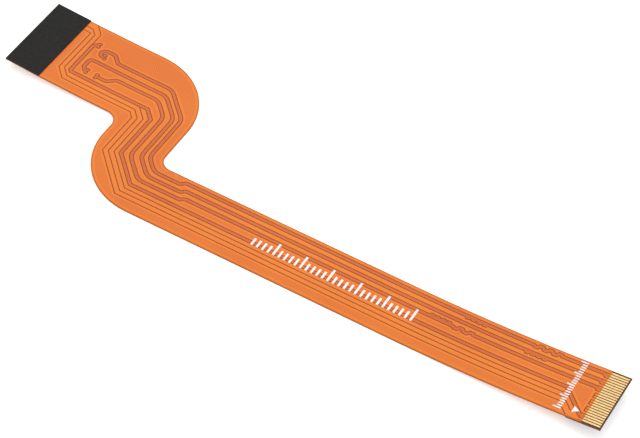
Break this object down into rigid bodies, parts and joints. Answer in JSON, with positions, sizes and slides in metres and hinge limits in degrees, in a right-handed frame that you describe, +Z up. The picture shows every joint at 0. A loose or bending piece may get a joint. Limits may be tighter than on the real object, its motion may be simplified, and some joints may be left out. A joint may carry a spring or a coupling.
{
  "type": "flat flex cable",
  "caption": "Flat flexible printed cable with an offset double bend between a narrow gold-fingered tongue and a wider stiffened tongue, its ends curled slightly up.",
  "frame": {"origin": "centre of the footprint's box, on the surface that the flat middle of the cable lies on", "axes": "+X along the cable towards the narrow tongue with the fine contacts, +Y across it towards the side that the wide tongue is offset to, +Z up, out of the face with the printed ticks"},
  "size_m": [0.12, 0.033, 0.0024],
  "materials": {
    "core_film": "satin amber polyimide film",
    "coverlay_film": "satin orange polyimide film",
    "adhesive": "clear amber adhesive",
    "copper": "rolled copper foil",
    "gold_plating": "soft satin gold plating",
    "brown_stiffener": "satin dark amber polyimide sheet",
    "black_stiffener": "matt black sheet",
    "white_ink": "matt white printing ink"
  },
  "bodies": {
    "root": {"core_film": "core_film", "top_coverlay": "coverlay_film", "top_adhesive": "adhesive", "bottom_coverlay": "coverlay_film", "bottom_adhesive": "adhesive", "pair_1_plus": "copper", "pair_1_minus": "copper", "pair_2_plus": "copper", "pair_2_minus": "copper", "pair_3_plus": "copper", "pair_3_minus": "copper", "pair_4_plus": "copper", "pair_4_minus": "copper", "supply_strip": "copper", "guard_strip": "copper", "outer_ground": "copper", "main_ground": "copper", "spare_contacts": "copper", "bottom_ground": "copper", "bottom_traces": "copper", "bottom_supply": "copper", "vias": "copper", "near_contact_plating": "gold_plating", "far_contact_plating": "gold_plating", "near_stiffener": "brown_stiffener", "near_stiffener_glue": "adhesive", "far_stiffener": "black_stiffener", "far_stiffener_glue": "adhesive", "strip_scale_ink": "white_ink", "contact_scale_ink": "white_ink", "first_contact_mark": "white_ink"}
  },
  "joints": []
}
